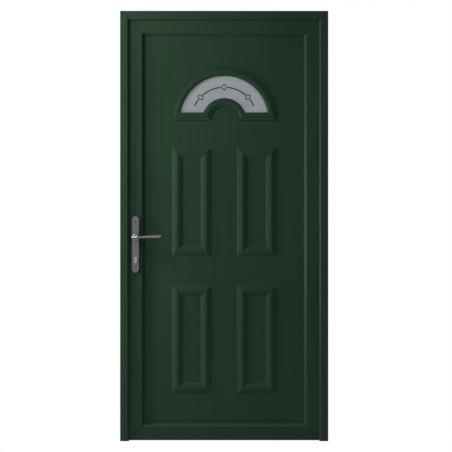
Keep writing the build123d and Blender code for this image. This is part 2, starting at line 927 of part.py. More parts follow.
# Handle plates with clipped ends, and the two screws through them
plate_half = plate_width / 2
apex_half = plate_half / 4
plate_outline = section(
    (lever_x - plate_half, plate_low + plate_shoulder),
    (lever_x - apex_half, plate_low),
    (lever_x + apex_half, plate_low),
    (lever_x + plate_half, plate_low + plate_shoulder),
    (lever_x + plate_half, plate_high - plate_shoulder),
    (lever_x + apex_half, plate_high),
    (lever_x - apex_half, plate_high),
    (lever_x - plate_half, plate_high - plate_shoulder),
)


def plate_screw_solid(z, grow=0.0):
    """A machine screw through both plates, its countersunk head outdoors."""
    head_centre = (lever_x, leaf_front - plate_thickness, z)
    length = leaf_depth + 2 * plate_thickness - plate_cover
    return countersunk(head_centre, (0, 1, 0), plate_screw, length, screw_sink * plate_screw, grow)


def handle_plate(outwards):
    """A plate seated on the leaf, holed for the lever, the cylinder and the screws."""
    seat = outwards * leaf_back
    face = outwards * (leaf_back + plate_thickness)
    plate = slab(plate_outline, min(seat, face), max(seat, face))
    front = plate.faces().sort_by(Axis.Y)[0 if outwards < 0 else -1]
    plate = chamfer(front.edges(), plate_bevel)
    plate -= rod_y(lever_x, lever_z, spigot_radius + running_fit, -leaf_depth, leaf_depth)
    plate -= slab(euro_profile(running_gap), -leaf_depth, leaf_depth)
    for z in plate_screw_heights:
        plate -= plate_screw_solid(z, screw_grow)
    return plate


parts["outer_handle_plate"] = handle_plate(-1)
parts["inner_handle_plate"] = handle_plate(1)
parts["plate_screws"] = gather([plate_screw_solid(z) for z in plate_screw_heights])

# Lever: a turned boss and neck, and a cigar-shaped grip set off from the door
boss_radius = boss_diameter / 2
boss_base = plate_thickness + running_gap
boss_top = plate_thickness + boss_height
neck_outline = section(
    (0, spigot_start),
    (spigot_radius, spigot_start),
    (spigot_radius, boss_base),
    (boss_radius, boss_base),
    (boss_radius, boss_top - boss_dome),
    (boss_radius - boss_dome, boss_top - boss_dome / 3),
    (neck_radius + boss_dome, boss_top + boss_dome),
    (neck_radius, boss_top + 3 * boss_dome),
    (neck_radius, lever_standoff),
    (0, lever_standoff),
)
neck = revolve(Plane.XZ * neck_outline, axis=Axis.Z)
grip_swell = lever_reach - grip_tip
grip_line = (
    CenterArc((0, 0), elbow_radius, 90, 90)
    + Line((0, elbow_radius), (elbow_radius, elbow_radius))
    + ThreePointArc(
        (elbow_radius, elbow_radius),
        (grip_swell / 4, grip_waist),
        (grip_swell / 2, (grip_waist + grip_radius) / 2),
    )
    + ThreePointArc(
        (grip_swell / 2, (grip_waist + grip_radius) / 2),
        (grip_swell, grip_radius),
        (lever_reach - grip_end, grip_end),
    )
    + CenterArc((lever_reach - grip_end, 0), grip_end, 90, -90)
    + Line((lever_reach, 0), (-elbow_radius, 0))
)
grip = revolve(make_face(grip_line), axis=Axis.X)
tilt = degrees(atan2(lever_rise, lever_reach))
grip = Pos(0, 0, lever_standoff) * Rot(0, 0, tilt) * grip
socket = Box(spindle_hole, spindle_hole, 2 * (spindle_reach + running_gap))
lever_plane = Plane(origin=(lever_x, leaf_front, lever_z), x_dir=(1, 0, 0), z_dir=(0, -1, 0))
outer_lever = lever_plane * (neck + grip - socket)
parts["outer_lever"] = outer_lever
parts["inner_lever"] = mirror(outer_lever, about=Plane.XZ)

# Cut-outs in the lock stile for the handle set, the cylinder and the cases
for shell in ("lock_stile_outer_shell", "lock_stile_inner_shell"):
    parts[shell] -= rod_y(lever_x, lever_z, spigot_radius + hole_clear, -leaf_depth, leaf_depth)
    parts[shell] -= slab(euro_profile(hole_clear), -leaf_depth, leaf_depth)
    for z in plate_screw_heights:
        parts[shell] -= rod_y(lever_x, z, plate_screw / 2 + running_gap, -leaf_depth, leaf_depth)

case_spaces = [(case_back, case_low, case_high)]
case_spaces += [(case_front + end_box_depth, z - end_box_half, z + end_box_half) for z in end_bolt_heights]
strip_cuts = lock_screws(screw_grow)
for back, low, high in case_spaces:
    clear = (low - running_gap, high + running_gap)
    strip_cuts.append(block((lock_edge, back + running_gap), (-groove_half, groove_half), clear))
parts["leaf_thermal_strips"] = gather(strip - strip_cuts for strip in leaf_strips)

# Strike plates on the lock jamb, with the ways cut into the jamb behind them
jamb_face = -half_width + frame_chamber
strike_face = jamb_face + strike_thickness
strike_reach = end_bolt_height / 2 + strike_margin
strikes = [(deadbolt_low - strike_margin, latch_high + strike_margin)]
strikes += [(z - strike_reach, z + strike_reach) for z in end_bolt_heights]


def strike_screws(grow=0.0):
    """Countersunk screws into the jamb, one near each end of each strike."""
    heights = [z for low, high in strikes for z in (low + strike_end, high - strike_end)]
    return [
        countersunk((strike_face, 0, z), (-1, 0, 0), lock_screw, lock_screw_length, strike_thickness, grow)
        for z in heights
    ]


jamb_cuts = bolt_windows((jamb_face - wall - 1, strike_face + 1), strike_gap) + strike_screws(screw_grow)
strike_y = (frame_inner_front + 1, groove_half)
parts["strike_plates"] = gather(
    block((jamb_face, strike_face), strike_y, ends) - jamb_cuts for ends in strikes
)
parts["strike_screws"] = gather(strike_screws())
parts["lock_jamb_inner_shell"] -= jamb_cuts

# Fixing holes through the indoor chamber of both jambs
fixing_y = (frame_inner_front + frame_back) / 2
for hand, shell in ((-1, "lock_jamb_inner_shell"), (1, "hinge_jamb_inner_shell")):
    ends = sorted((hand * (half_width + 1), hand * (half_width - frame_chamber - 1)))
    for z in fixing_heights:
        parts[shell] -= rod_x(fixing_y, z, fixing_diameter / 2, *ends)

# Barrel hinges: the frame part carries the pin in two outer knuckles
hinge_x = leaf_half + leaf_lip + hinge_offset
hinge_y = leaf_back + hinge_clear + hinge_radius
pin_hole = hinge_pin + pin_fit
frame_part_low_x = leaf_half + leaf_lip + hinge_offset / 2
frame_part_high_x = half_width - hinge_foot_inset
flap_high_x = hinge_x - hinge_radius - hinge_flap_gap
flap_middle_x = flap_high_x - hinge_flap_width / 2
knuckle_half = hinge_knuckle / 2
hinge_half = hinge_height / 2


def upright(outline, low, high):
    """A plan outline in X and Y, made solid from low to high."""
    return Pos(0, 0, low) * extrude(outline, amount=high - low, dir=(0, 0, 1))


def hinge_frame_part(z):
    """Block on the jamb with two knuckles."""
    foot = section(
        (frame_part_low_x, frame_back),
        (frame_part_high_x, frame_back),
        (frame_part_high_x, leaf_back - foot_bevel),
        (frame_part_high_x - foot_bevel, leaf_back - hinge_clear),
        (frame_part_low_x, leaf_back - hinge_clear),
    )
    web = section(
        (frame_part_low_x, leaf_back - hinge_clear),
        (hinge_x + hinge_radius, leaf_back - hinge_clear),
        (hinge_x + hinge_radius, hinge_y),
        (frame_part_low_x, hinge_y),
    )
    knuckle = web + Pos(hinge_x, hinge_y) * Circle(hinge_radius)
    solid = upright(foot, z - hinge_half, z + hinge_half)
    gap = knuckle_half + running_gap
    solid += upright(knuckle, z + gap, z + hinge_half)
    solid += upright(knuckle, z - hinge_half, z - gap)
    return solid - upright(Pos(hinge_x, hinge_y) * Circle(pin_hole), z - hinge_half, z + hinge_half)


def hinge_leaf_part(z):
    """Flap on the leaf with one knuckle between the frame's two."""
    flap_outline = Pos(flap_middle_x, z) * RectangleRounded(hinge_flap_width, hinge_height, hinge_flap_corner)
    flap = slab(flap_outline, leaf_back, leaf_back + hinge_flap)
    arm = section(
        (flap_high_x - hinge_flap, leaf_back + hinge_clear),
        (hinge_x, leaf_back + hinge_clear),
        (hinge_x, hinge_y),
        (hinge_x - hinge_radius * 0.8, hinge_y + hinge_radius * 0.6),
        (flap_high_x - hinge_flap, leaf_back + hinge_flap),
    )
    knuckle = arm + Pos(hinge_x, hinge_y) * Circle(hinge_radius)
    solid = flap + upright(knuckle, z - knuckle_half, z + knuckle_half)
    return solid - upright(Pos(hinge_x, hinge_y) * Circle(pin_hole), z - hinge_half, z + hinge_half)


def hinge_pin_solid(z):
    """Pin with a domed cap above the upper knuckle."""
    cap_low = z + hinge_half
    shaft = upright(Pos(hinge_x, hinge_y) * Circle(hinge_pin), z - hinge_half, cap_low)
    cap = upright(Pos(hinge_x, hinge_y) * Circle(hinge_radius), cap_low, cap_low + pin_cap)
    return shaft + chamfer(cap.faces().sort_by(Axis.Z)[-1].edges(), pin_cap / 3)


for place, z in hinge_heights.items():
    parts["hinge_frame_part_" + place] = hinge_frame_part(z)
    parts["hinge_leaf_part_" + place] = hinge_leaf_part(z)
parts["hinge_pins"] = gather([hinge_pin_solid(z) for z in hinge_heights.values()])

os.makedirs("parts", exist_ok=True)
for node, shape in parts.items():
    export_step(shape, f"parts/{node}.step")
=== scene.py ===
import json
import math

import bmesh
import bpy
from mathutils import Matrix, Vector


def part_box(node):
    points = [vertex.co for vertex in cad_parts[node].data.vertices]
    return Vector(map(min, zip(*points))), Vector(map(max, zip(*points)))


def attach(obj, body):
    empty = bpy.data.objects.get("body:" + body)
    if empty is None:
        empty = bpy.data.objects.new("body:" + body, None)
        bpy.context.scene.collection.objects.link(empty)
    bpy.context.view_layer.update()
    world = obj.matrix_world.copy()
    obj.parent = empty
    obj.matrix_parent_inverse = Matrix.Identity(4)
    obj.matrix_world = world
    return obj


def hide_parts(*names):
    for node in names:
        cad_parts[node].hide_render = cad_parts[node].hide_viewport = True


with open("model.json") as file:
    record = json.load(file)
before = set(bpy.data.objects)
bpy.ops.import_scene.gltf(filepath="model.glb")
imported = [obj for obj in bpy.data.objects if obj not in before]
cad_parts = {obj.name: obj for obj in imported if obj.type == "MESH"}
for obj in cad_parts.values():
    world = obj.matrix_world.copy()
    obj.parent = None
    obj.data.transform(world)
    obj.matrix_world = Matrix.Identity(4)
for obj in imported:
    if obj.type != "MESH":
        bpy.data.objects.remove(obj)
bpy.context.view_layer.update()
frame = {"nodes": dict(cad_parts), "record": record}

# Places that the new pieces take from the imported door, in metres
SPINDLE_LOW, SPINDLE_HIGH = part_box("spindle")
SPINDLE = (SPINDLE_LOW + SPINDLE_HIGH) / 2
PLATE_LOW, PLATE_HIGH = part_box("inner_handle_plate")
LEAF_FACE = PLATE_LOW.y
PLATE_FACE = PLATE_HIGH.y
SKIN_LOW, SKIN_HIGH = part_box("panel_outer_skin")
FAN_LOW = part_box("fanlight_outer_frame")[0]

# Lever: sizes of its rose, neck, elbow and grip
SPIGOT_RADIUS = 0.009
SPIGOT_START = 0.0015
ROSE_RADIUS = 0.0186
ROSE_GAP = 0.0003
NECK_RADIUS = 0.0072
NECK_LENGTH = 0.0365
ELBOW_RADIUS = 0.0120
ELBOW_STEPS = 6
GRIP_RISE = 0.038
SOCKET = 0.0081
SOCKET_CLEAR = 0.0005
LEVER_SIDES = 32

# Grip of the lever: each step along it, and its radius there
GRIP_STEPS = (
    (0.008, 0.0066),
    (0.016, 0.0066),
    (0.022, 0.0076),
    (0.026, 0.0091),
    (0.020, 0.0100),
    (0.0125, 0.0100),
    (0.0085, 0.0086),
    (0.0045, 0.0060),
    (0.0018, 0.0024),
)

# Screws through the handle plates
SCREW_SIDES = 24
PLATE_SCREW_RADIUS = 0.0025
SCREW_TIP = 0.0005
SCREW_TIP_RADIUS = PLATE_SCREW_RADIUS - 0.0004
SCREW_HEAD_RADIUS = 0.00475
SCREW_HEAD_DEPTH = 0.0027
SCREW_RIM = 0.0003
RECESS_DEPTH = 0.0021
RECESS_WIDTH = 0.0011
RECESS_REACH = 0.0030
RECESS_TAPER = 0.45

# Pressed panel skins: their two faces, and their mouldings as rings of a width and a rise
PANEL_OUTDOORS = -0.017
PANEL_INDOORS = 0.013
SKIN = 0.002
MOULDING_X = (0.065, 0.261)
MOULDING_Z = ((0.237, 0.776), (0.923, 1.467))
MOULDING_INSETS = (
    (0.0068, 0.0036),
    (0.0094, 0.0026),
    (0.0057, 0.0023),
    (0.0082, 0.0),
    (0.0057, -0.0020),
    (0.0094, -0.0026),
    (0.0068, -0.0039),
)
PRESS_ROUNDING = 0.0009
PRESS_ANGLE = 8.0
HOLE_SIDES = 96
HOLE_OUTER_RADIUS = 0.237
HOLE_INNER_RADIUS = 0.095
HOLE_ABOVE_BASE = 0.023

# Mitred members of the frame and the leaf: their corners, and how their edges are broken.
# Only the edges further outdoors than SEEN_FROM are broken.
JAMB_LOW, JAMB_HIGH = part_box("lock_jamb_outer_shell")
STILE_LOW, STILE_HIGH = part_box("lock_stile_outer_shell")
MID_HEIGHT = (JAMB_LOW.z + JAMB_HIGH.z) / 2
FRAME_CORNERS = ((-JAMB_LOW.x, JAMB_HIGH.z),)
LEAF_CORNERS = ((-STILE_LOW.x, STILE_HIGH.z), (-STILE_LOW.x, STILE_LOW.z))
FRAME_SEEN_FROM = -0.0285
LEAF_SEEN_FROM = -0.0235
FRAME_MEMBERS = ("lock_jamb", "hinge_jamb", "head")
LEAF_MEMBERS = ("lock_stile", "hinge_stile", "top_rail", "bottom_rail")
MITRE_SLACK = 0.00002
LONG_EDGE = 0.4
EDGE_BREAK = 0.0008
SHARP_ANGLE = 20.0
FLAT_ANGLE = 0.2

# Camera: level and square on, as far off as the photograph's sides need
CAMERA_DISTANCE = 9.0
CAMERA_HEIGHT = 1.075
VIEW_WIDTH = 2.258
CAMERA_X = 0.009
FRONT_PLANE = -0.05
SENSOR_WIDTH = 36.0

# Floor, and the soft light that the surround throws on the door
FLOOR_SPAN = 30.0
SOFT_LIGHT = 0.10

# Turn that stands a flat shape up, and the distance within which points are merged
UPRIGHT = (math.radians(90.0), 0.0, 0.0)
MERGE_WITHIN = 0.000001

# Angles between faces, in degrees, up to which the shading runs on
SMOOTH_LEVER = 40.0
SMOOTH_SCREW = 35.0
SMOOTH_SHEET = 30.0


def nothing_selected():
    """Leave edit mode and drop the selection, so that an operator acts on new work only."""
    if bpy.context.object and bpy.context.object.mode != "OBJECT":
        bpy.ops.object.mode_set(mode="OBJECT")
    bpy.ops.object.select_all(action="DESELECT")


def take(piece):
    """Select one piece alone, and make it the active one."""
    nothing_selected()
    piece.select_set(True)
    bpy.context.view_layer.objects.active = piece


def add_disc(name, radius, place, vertices, fill="NGON"):
    """A ring or a disc that stands upright and faces outdoors, ready to be drawn out."""
    nothing_selected()
    bpy.ops.mesh.primitive_circle_add(
        vertices=vertices, radius=radius, fill_type=fill, location=place, rotation=UPRIGHT
    )
    piece = bpy.context.object
    piece.name = name
    bpy.ops.object.transform_apply(location=True, rotation=True, scale=True)
    bpy.ops.object.mode_set(mode="EDIT")
    bpy.ops.mesh.select_mode(type="VERT")
    bpy.ops.mesh.select_all(action="SELECT")
    return piece


def draw_out(travel, growth=1.0, centre=None):
    """Extrude what is selected, and widen or narrow the new end about its centre."""
    bpy.ops.mesh.extrude_region_move(TRANSFORM_OT_translate={"value": travel})
    if growth != 1.0:
        bpy.ops.transform.resize(value=(growth, growth, growth), center_override=centre)


def turned(place, radius, steps):
    """Turn a shape out of the selected disc: a step is a distance outdoors and a radius."""
    for travel, new_radius in steps:
        step = Vector((0.0, -travel, 0.0))
        place = place + step
        draw_out(step, new_radius / radius, place)
        radius = new_radius
    return place, radius


def pick_faces(piece, wanted):
    """Select the faces whose centre and normal pass a test, in edit mode."""
    bpy.ops.object.mode_set(mode="EDIT")
    bpy.ops.mesh.select_mode(type="FACE")
    bpy.ops.mesh.select_all(action="DESELECT")
    mesh = bmesh.from_edit_mesh(piece.data)
    for face in mesh.faces:
        face.select = wanted(face.calc_center_median(), face.normal)
    mesh.select_flush_mode()
    bmesh.update_edit_mesh(piece.data)


def with_modifier(piece, kind, **settings):
    """Add a modifier and apply it."""
    take(piece)
    modifier = piece.modifiers.new(kind.lower(), kind)
    for key, value in settings.items():
        setattr(modifier, key, value)
    bpy.ops.object.modifier_apply(modifier=modifier.name)


def outward_normals(piece):
    """Merge doubles and turn every face outwards."""
    take(piece)
    bpy.ops.object.mode_set(mode="EDIT")
    bpy.ops.mesh.select_all(action="SELECT")
    bpy.ops.mesh.remove_doubles(threshold=MERGE_WITHIN)
    bpy.ops.mesh.normals_make_consistent(inside=False)
    bpy.ops.object.mode_set(mode="OBJECT")


def smoothed(piece, degrees, flats=False):
    """Shade smooth up to an angle, and keep the large flats flat if asked."""
    take(piece)
    bpy.ops.object.shade_smooth_by_angle(angle=math.radians(degrees))
    if flats:
        with_modifier(piece, "WEIGHTED_NORMAL", weight=100, keep_sharp=True)


def carve(piece, cutter):
    """Cut one closed mesh out of another, and drop the cutter."""
    with_modifier(piece, "BOOLEAN", operation="DIFFERENCE", object=cutter, solver="EXACT")
    nothing_selected()
    cutter.select_set(True)
    bpy.ops.object.delete()


def mirrored(piece, name, across_y):
    """A copy with a mesh of its own, mirrored in a plane across Y."""
    take(piece)
    bpy.ops.object.duplicate()
    copy = bpy.context.object
    copy.name = name
    bpy.ops.object.mode_set(mode="EDIT")
    bpy.ops.mesh.select_all(action="SELECT")
    bpy.ops.transform.resize(value=(1.0, -1.0, 1.0), center_override=(0.0, across_y, 0.0))
    bpy.ops.object.mode_set(mode="OBJECT")
    outward_normals(copy)
    return copy


def make_lever():
    """Outdoor lever: spigot, round rose, slim neck, elbow and a cigar-shaped grip."""
    start = Vector((SPINDLE.x, -LEAF_FACE - SPIGOT_START, SPINDLE.z))
    lever = add_disc("lever_outdoors", SPIGOT_RADIUS, start, LEVER_SIDES)
    to_rose = PLATE_FACE + ROSE_GAP - LEAF_FACE - SPIGOT_START
    profile = [
        (to_rose, SPIGOT_RADIUS),
        (0.0, ROSE_RADIUS - 0.0008),
        (0.0008, ROSE_RADIUS),
        (0.0036, ROSE_RADIUS),
        (0.0020, ROSE_RADIUS - 0.0006),
        (0.0014, ROSE_RADIUS - 0.0030),
        (0.0010, ROSE_RADIUS - 0.0075),
        (0.0014, NECK_RADIUS + 0.0016),
        (0.0040, NECK_RADIUS + 0.0001),
    ]
    profile.append((NECK_LENGTH - sum(step for step, radius in profile), NECK_RADIUS))
    end, radius = turned(start, SPIGOT_RADIUS, profile)

    bend = end + Vector((ELBOW_RADIUS, 0.0, 0.0))
    for step in range(ELBOW_STEPS):
        draw_out((0.0, 0.0, 0.0))
        bpy.ops.transform.rotate(
            value=math.radians(-90.0 / ELBOW_STEPS), orient_axis="Z", center_override=bend
        )
    end = bend + Vector((0.0, -ELBOW_RADIUS, 0.0))
    for travel, new_radius in GRIP_STEPS:
        step = Vector((travel, 0.0, travel * GRIP_RISE))
        end = end + step
        draw_out(step, new_radius / radius, end)
        radius = new_radius
    with_modifier(lever, "SUBSURF", levels=2, render_levels=2)

    nothing_selected()
    bpy.ops.mesh.primitive_cube_add(size=SOCKET, location=(SPINDLE.x, -LEAF_FACE, SPINDLE.z))
    socket = bpy.context.object
    bpy.ops.object.transform_apply(location=True, rotation=True, scale=True)
    pick_faces(socket, lambda centre, normal: normal.y < -0.5)
    to_end = SPINDLE_HIGH.y + SOCKET_CLEAR - LEAF_FACE - SOCKET / 2
    bpy.ops.transform.translate(value=(0.0, -to_end, 0.0))
    bpy.ops.object.mode_set(mode="OBJECT")
    carve(lever, socket)
    smoothed(lever, SMOOTH_LEVER)
    return lever


def make_plate_screws():
    """Two machine screws through both plates, their countersunk heads cross-recessed."""
    low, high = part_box("plate_screws")
    screws = []
    for z in (low.z + SCREW_HEAD_RADIUS, high.z - SCREW_HEAD_RADIUS):
        start = Vector((SPINDLE.x, high.y, z))
        screw = add_disc("plate_screw", SCREW_TIP_RADIUS, start, SCREW_SIDES)
        shank = high.y - low.y - SCREW_HEAD_DEPTH
        profile = (
            (SCREW_TIP, PLATE_SCREW_RADIUS),
            (shank - SCREW_TIP, PLATE_SCREW_RADIUS),
            (SCREW_HEAD_DEPTH - SCREW_RIM, SCREW_HEAD_RADIUS),
            (SCREW_RIM / 3, SCREW_HEAD_RADIUS),
            (SCREW_RIM * 2 / 3, SCREW_HEAD_RADIUS - SCREW_RIM),
        )
        turned(start, SCREW_TIP_RADIUS, profile)
        outward_normals(screw)
        for turn in (45.0, 135.0):
            nothing_selected()
            bpy.ops.mesh.primitive_cube_add(
                size=1.0, location=(SPINDLE.x, low.y, z), rotation=(0.0, math.radians(turn), 0.0)
            )
            blade = bpy.context.object
            blade.scale = (2 * RECESS_REACH, 2 * RECESS_DEPTH, RECESS_WIDTH)
            bpy.ops.object.transform_apply(location=True, rotation=True, scale=True)
            pick_faces(blade, lambda centre, normal: normal.y > 0.5)
            narrower = (RECESS_TAPER, 1.0, RECESS_TAPER)
            bpy.ops.transform.resize(value=narrower, center_override=(SPINDLE.x, low.y, z))
            bpy.ops.object.mode_set(mode="OBJECT")
            carve(screw, blade)
        smoothed(screw, SMOOTH_SCREW)
        screws.append(screw)
    nothing_selected()
    for screw in screws:
        screw.select_set(True)
    bpy.context.view_layer.objects.active = screws[0]
    bpy.ops.object.join()
    screws[0].name = "cross_recessed_screws"
    return screws[0]


def cut_line(place, normal):
    """Score the sheet that is being edited along a plane."""
    bpy.ops.mesh.select_all(action="SELECT")
    bpy.ops.mesh.bisect(plane_co=place, plane_no=normal)


def make_panel_skin():
    """Outdoor skin: a sheet scored along its mouldings, which are then pressed out ring by ring."""
    face_y = PANEL_OUTDOORS
    centre = (0.0, face_y, (SKIN_LOW.z + SKIN_HIGH.z) / 2)
    nothing_selected()
    bpy.ops.mesh.primitive_plane_add(size=1.0, location=centre, rotation=UPRIGHT)
    skin = bpy.context.object
    skin.name = "skin_outdoors"
    skin.scale = (SKIN_HIGH.x - SKIN_LOW.x, SKIN_HIGH.z - SKIN_LOW.z, 1.0)
    bpy.ops.object.transform_apply(location=True, rotation=True, scale=True)
    bpy.ops.object.mode_set(mode="EDIT")
    for x in MOULDING_X:
        cut_line((x, face_y, 0.0), (1.0, 0.0, 0.0))
        cut_line((-x, face_y, 0.0), (1.0, 0.0, 0.0))
    for low, high in MOULDING_Z:
        cut_line((0.0, face_y, low), (0.0, 0.0, 1.0))
        cut_line((0.0, face_y, high), (0.0, 0.0, 1.0))

    def in_moulding(centre, normal):
        across = MOULDING_X[0] < abs(centre.x) < MOULDING_X[1]
        return across and any(low < centre.z < high for low, high in MOULDING_Z)

    pick_faces(skin, in_moulding)
    for thickness, depth in MOULDING_INSETS:
        bpy.ops.mesh.inset(thickness=thickness, depth=depth)
    bpy.ops.object.mode_set(mode="OBJECT")
    with_modifier(
        skin,
        "BEVEL",
        width=PRESS_ROUNDING,
        segments=3,
        limit_method="ANGLE",
        angle_limit=math.radians(PRESS_ANGLE),
    )
    with_modifier(skin, "SOLIDIFY", thickness=SKIN, offset=-1.0, use_even_offset=True)

    ring_centre = Vector((0.0, face_y - SKIN, FAN_LOW.z))
    hole = add_disc("fan_hole", HOLE_OUTER_RADIUS, ring_centre, HOLE_SIDES, "NOTHING")
    draw_out((0.0, 0.0, 0.0), HOLE_INNER_RADIUS / HOLE_OUTER_RADIUS, ring_centre)
    bpy.ops.mesh.select_all(action="SELECT")
    base = ring_centre + Vector((0.0, 0.0, HOLE_ABOVE_BASE))
    bpy.ops.mesh.bisect(plane_co=base, plane_no=(0.0, 0.0, 1.0), clear_inner=True)
    bpy.ops.mesh.select_all(action="SELECT")
    draw_out((0.0, 4 * SKIN, 0.0))
    outward_normals(hole)
    carve(skin, hole)
    smoothed(skin, SMOOTH_SHEET, flats=True)
    return skin


def on_mitre(place, corners):
    """Whether a point lies in the mitre plane of one of a frame's corners."""
    for corner_x, corner_z in corners:
        same_end = (place.z > MID_HEIGHT) == (corner_z > MID_HEIGHT)
        off_mitre = abs(corner_x - abs(place.x) - abs(corner_z - place.z))
        if same_end and off_mitre < MITRE_SLACK:
            return True
    return False


def soften_member(node_name, corners, visible_from):
    """A merged copy of a mitred profile, with its mitre and its long edges slightly broken."""
    name = node_name.replace("_shell", "_softened")
    piece = bpy.data.objects.new(name, frame["nodes"][node_name].data.copy())
    bpy.context.scene.collection.objects.link(piece)
    take(piece)
    bpy.ops.object.mode_set(mode="EDIT")
    bpy.ops.mesh.select_mode(type="EDGE")
    bpy.ops.mesh.select_all(action="SELECT")
    bpy.ops.mesh.remove_doubles(threshold=MERGE_WITHIN)
    bpy.ops.mesh.dissolve_limited(angle_limit=math.radians(FLAT_ANGLE))
    bpy.ops.mesh.select_all(action="DESELECT")
    mesh = bmesh.from_edit_mesh(piece.data)
    for edge in mesh.edges:
        first, second = (vertex.co for vertex in edge.verts)
        seen = max(first.y, second.y) < visible_from
        convex = edge.is_manifold and edge.is_convex
        sharp = convex and edge.calc_face_angle() > math.radians(SHARP_ANGLE)
        mitred = on_mitre(first, corners) and on_mitre(second, corners)
        edge.select = seen and sharp and (mitred or edge.calc_length() > LONG_EDGE)
    bmesh.update_edit_mesh(piece.data)
    bpy.ops.mesh.bevel(offset=EDGE_BREAK, segments=2, profile=0.5, loop_slide=False)
    bpy.ops.object.mode_set(mode="OBJECT")
    smoothed(piece, SMOOTH_SHEET, flats=True)
    return piece


def shade(red, green, blue):
    """A colour given as a painter reads it, 0 to 255, in the light's own scale."""
    def one(value):
        value /= 255
        return value / 12.92 if value <= 0.04045 else ((value + 0.055) / 1.055) ** 2.4

    return (one(red), one(green), one(blue), 1.0)


# Sealant and painted shade in the mitres: a near-black line that stands in for the shade in the
# joint; how far from the joint it fades out, and how far it is darkest.
# The frame has no lower corners, so theirs is put far below it.
SEAM_REACH = 0.0022
SEAM_CORE = 0.0008
SEAM_DARKNESS = 0.6
NO_LOW_CORNER = -9.0

# Paint: how much shows of its wear and of the dust on it, and its roughness
PAINT_WEAR = 0.30
PAINT_DUST = 0.04
PAINT_ROUGHNESS = 0.42

# Range that most of a noise's values lie in
NOISE_LOW = 0.3
NOISE_HIGH = 0.7

# Colour sockets of a Mix node, whose names it repeats for its other kinds
MIX_FIRST = 6
MIX_SECOND = 7
MIX_RESULT = 2

# Colours of the finishes
# Near-black of the mitre seams: sealant, and painted shade in the joint
SEALANT_AND_SHADE = shade(12, 18, 14)
FRAME_GREEN = shade(36, 56, 42)
LEAF_GREEN = shade(35, 56, 42)
WORN_GREEN = shade(92, 108, 97)
DUST = shade(150, 148, 140)
RUBBER_BLACK = shade(26, 26, 27)
PLASTIC_BLACK = shade(34, 34, 36)
MILL_ALUMINIUM = shade(206, 208, 210)
FOAM_CREAM = shade(222, 205, 160)
SATIN_WHITE = shade(170, 170, 176)
CLEAR_TINT = shade(226, 236, 232)
DECOR_GREY = shade(34, 34, 42)
PLATE_GREY = shade(90, 86, 92)
LEVER_SATIN = shade(112, 113, 110)
CYLINDER_NICKEL = shade(160, 154, 160)
SCREW_STEEL = shade(78, 76, 80)
LOCK_ZINC = shade(196, 198, 200)
FLOOR_GREY = shade(238, 238, 238)
WHITE = (1.0, 1.0, 1.0, 1.0)


class Nodes:
    """A small hand for placing and joining the nodes of one tree."""

    def __init__(self, tree):
        self.tree = tree

    def add(self, kind, settings=(), **inputs):
        node = self.tree.nodes.new("ShaderNode" + kind)
        for key, value in dict(settings).items():
            setattr(node, key, value)
        for key, value in inputs.items():
            self.feed(node.inputs[key.replace("_", " ")], value)
        return node

    def feed(self, socket, value):
        """Link an output to a socket, or set the socket's own value."""
        if isinstance(value, bpy.types.NodeSocket):
            self.tree.links.new(value, socket)
        else:
            socket.default_value = value

    def math(self, operation, first, second=0.0, clamp=False):
        node = self.add("Math", {"operation": operation, "use_clamp": clamp})
        self.feed(node.inputs[0], first)
        self.feed(node.inputs[1], second)
        return node.outputs[0]

    def spread(self, value, low, high, to_low=0.0, to_high=1.0):
        """Carry a range of values over to another."""
        node = self.add(
            "MapRange", Value=value, From_Min=low, From_Max=high, To_Min=to_low, To_Max=to_high
        )
        return node.outputs["Result"]

    def varied(self, noise, to_low, to_high):
        """Carry the usual range of a noise over to another."""
        return self.spread(noise, NOISE_LOW, NOISE_HIGH, to_low, to_high)

    def mix(self, share, first, second):
        node = self.add("Mix", {"data_type": "RGBA"})
        self.feed(node.inputs["Factor"], share)
        self.feed(node.inputs[MIX_FIRST], first)
        self.feed(node.inputs[MIX_SECOND], second)
        return node.outputs[MIX_RESULT]

    def noise(self, where, scale, detail=3.0, roughness=0.5):
        node = self.add("TexNoise", Vector=where, Scale=scale, Detail=detail, Roughness=roughness)
        return node.outputs["Fac"]

    def scaled(self, where, factors):
        node = self.add("Mapping", Vector=where)
        node.inputs["Scale"].default_value = factors
        return node.outputs["Vector"]


def effect_group(name, inputs, outputs):
    """An empty node group with named sockets."""
    group = bpy.data.node_groups.new(name, "ShaderNodeTree")
    for label, kind, default in inputs:
        socket = group.interface.new_socket(label, in_out="INPUT", socket_type="NodeSocket" + kind)
        if default is not None:
            socket.default_value = default
    for label, kind in outputs:
        group.interface.new_socket(label, in_out="OUTPUT", socket_type="NodeSocket" + kind)
    start = group.nodes.new("NodeGroupInput")
    end = group.nodes.new("NodeGroupOutput")
    return group, Nodes(group), start.outputs, end.inputs


def make_powder_coat():
    """Grain of sprayed powder: a fine orange peel, and faint streaks along the profile."""
    group, n, given, out = effect_group(
        "powder_coat",
        [("Along", "Vector", None), ("Coordinates", "Vector", None), ("Streaks", "Float", 0.12)],
        [("Shade", "Float"), ("Height", "Float"), ("Gloss", "Float")],
    )
    streak = n.noise(given["Along"], 60.0, 4.0, 0.6)
    cloud = n.noise(given["Coordinates"], 2.2, 2.0)
    peel = n.noise(given["Coordinates"], 900.0, 2.0)
    speck = n.noise(given["Coordinates"], 260.0, 2.0, 0.7)
    streak_shade = n.varied(streak, -1.0, 1.0)
    cloud_shade = n.varied(cloud, -0.06, 0.06)
    speck_shade = n.varied(speck, -0.05, 0.05)
    lines = n.math("MULTIPLY", streak_shade, given["Streaks"])
    total = n.math("ADD", n.math("ADD", lines, cloud_shade), n.math("ADD", speck_shade, 1.0))
    n.feed(out["Shade"], total)
    n.feed(out["Height"], n.math("ADD", peel, n.math("MULTIPLY", streak, 0.6)))
    n.feed(out["Gloss"], n.varied(cloud, -0.04, 0.05))
    return group


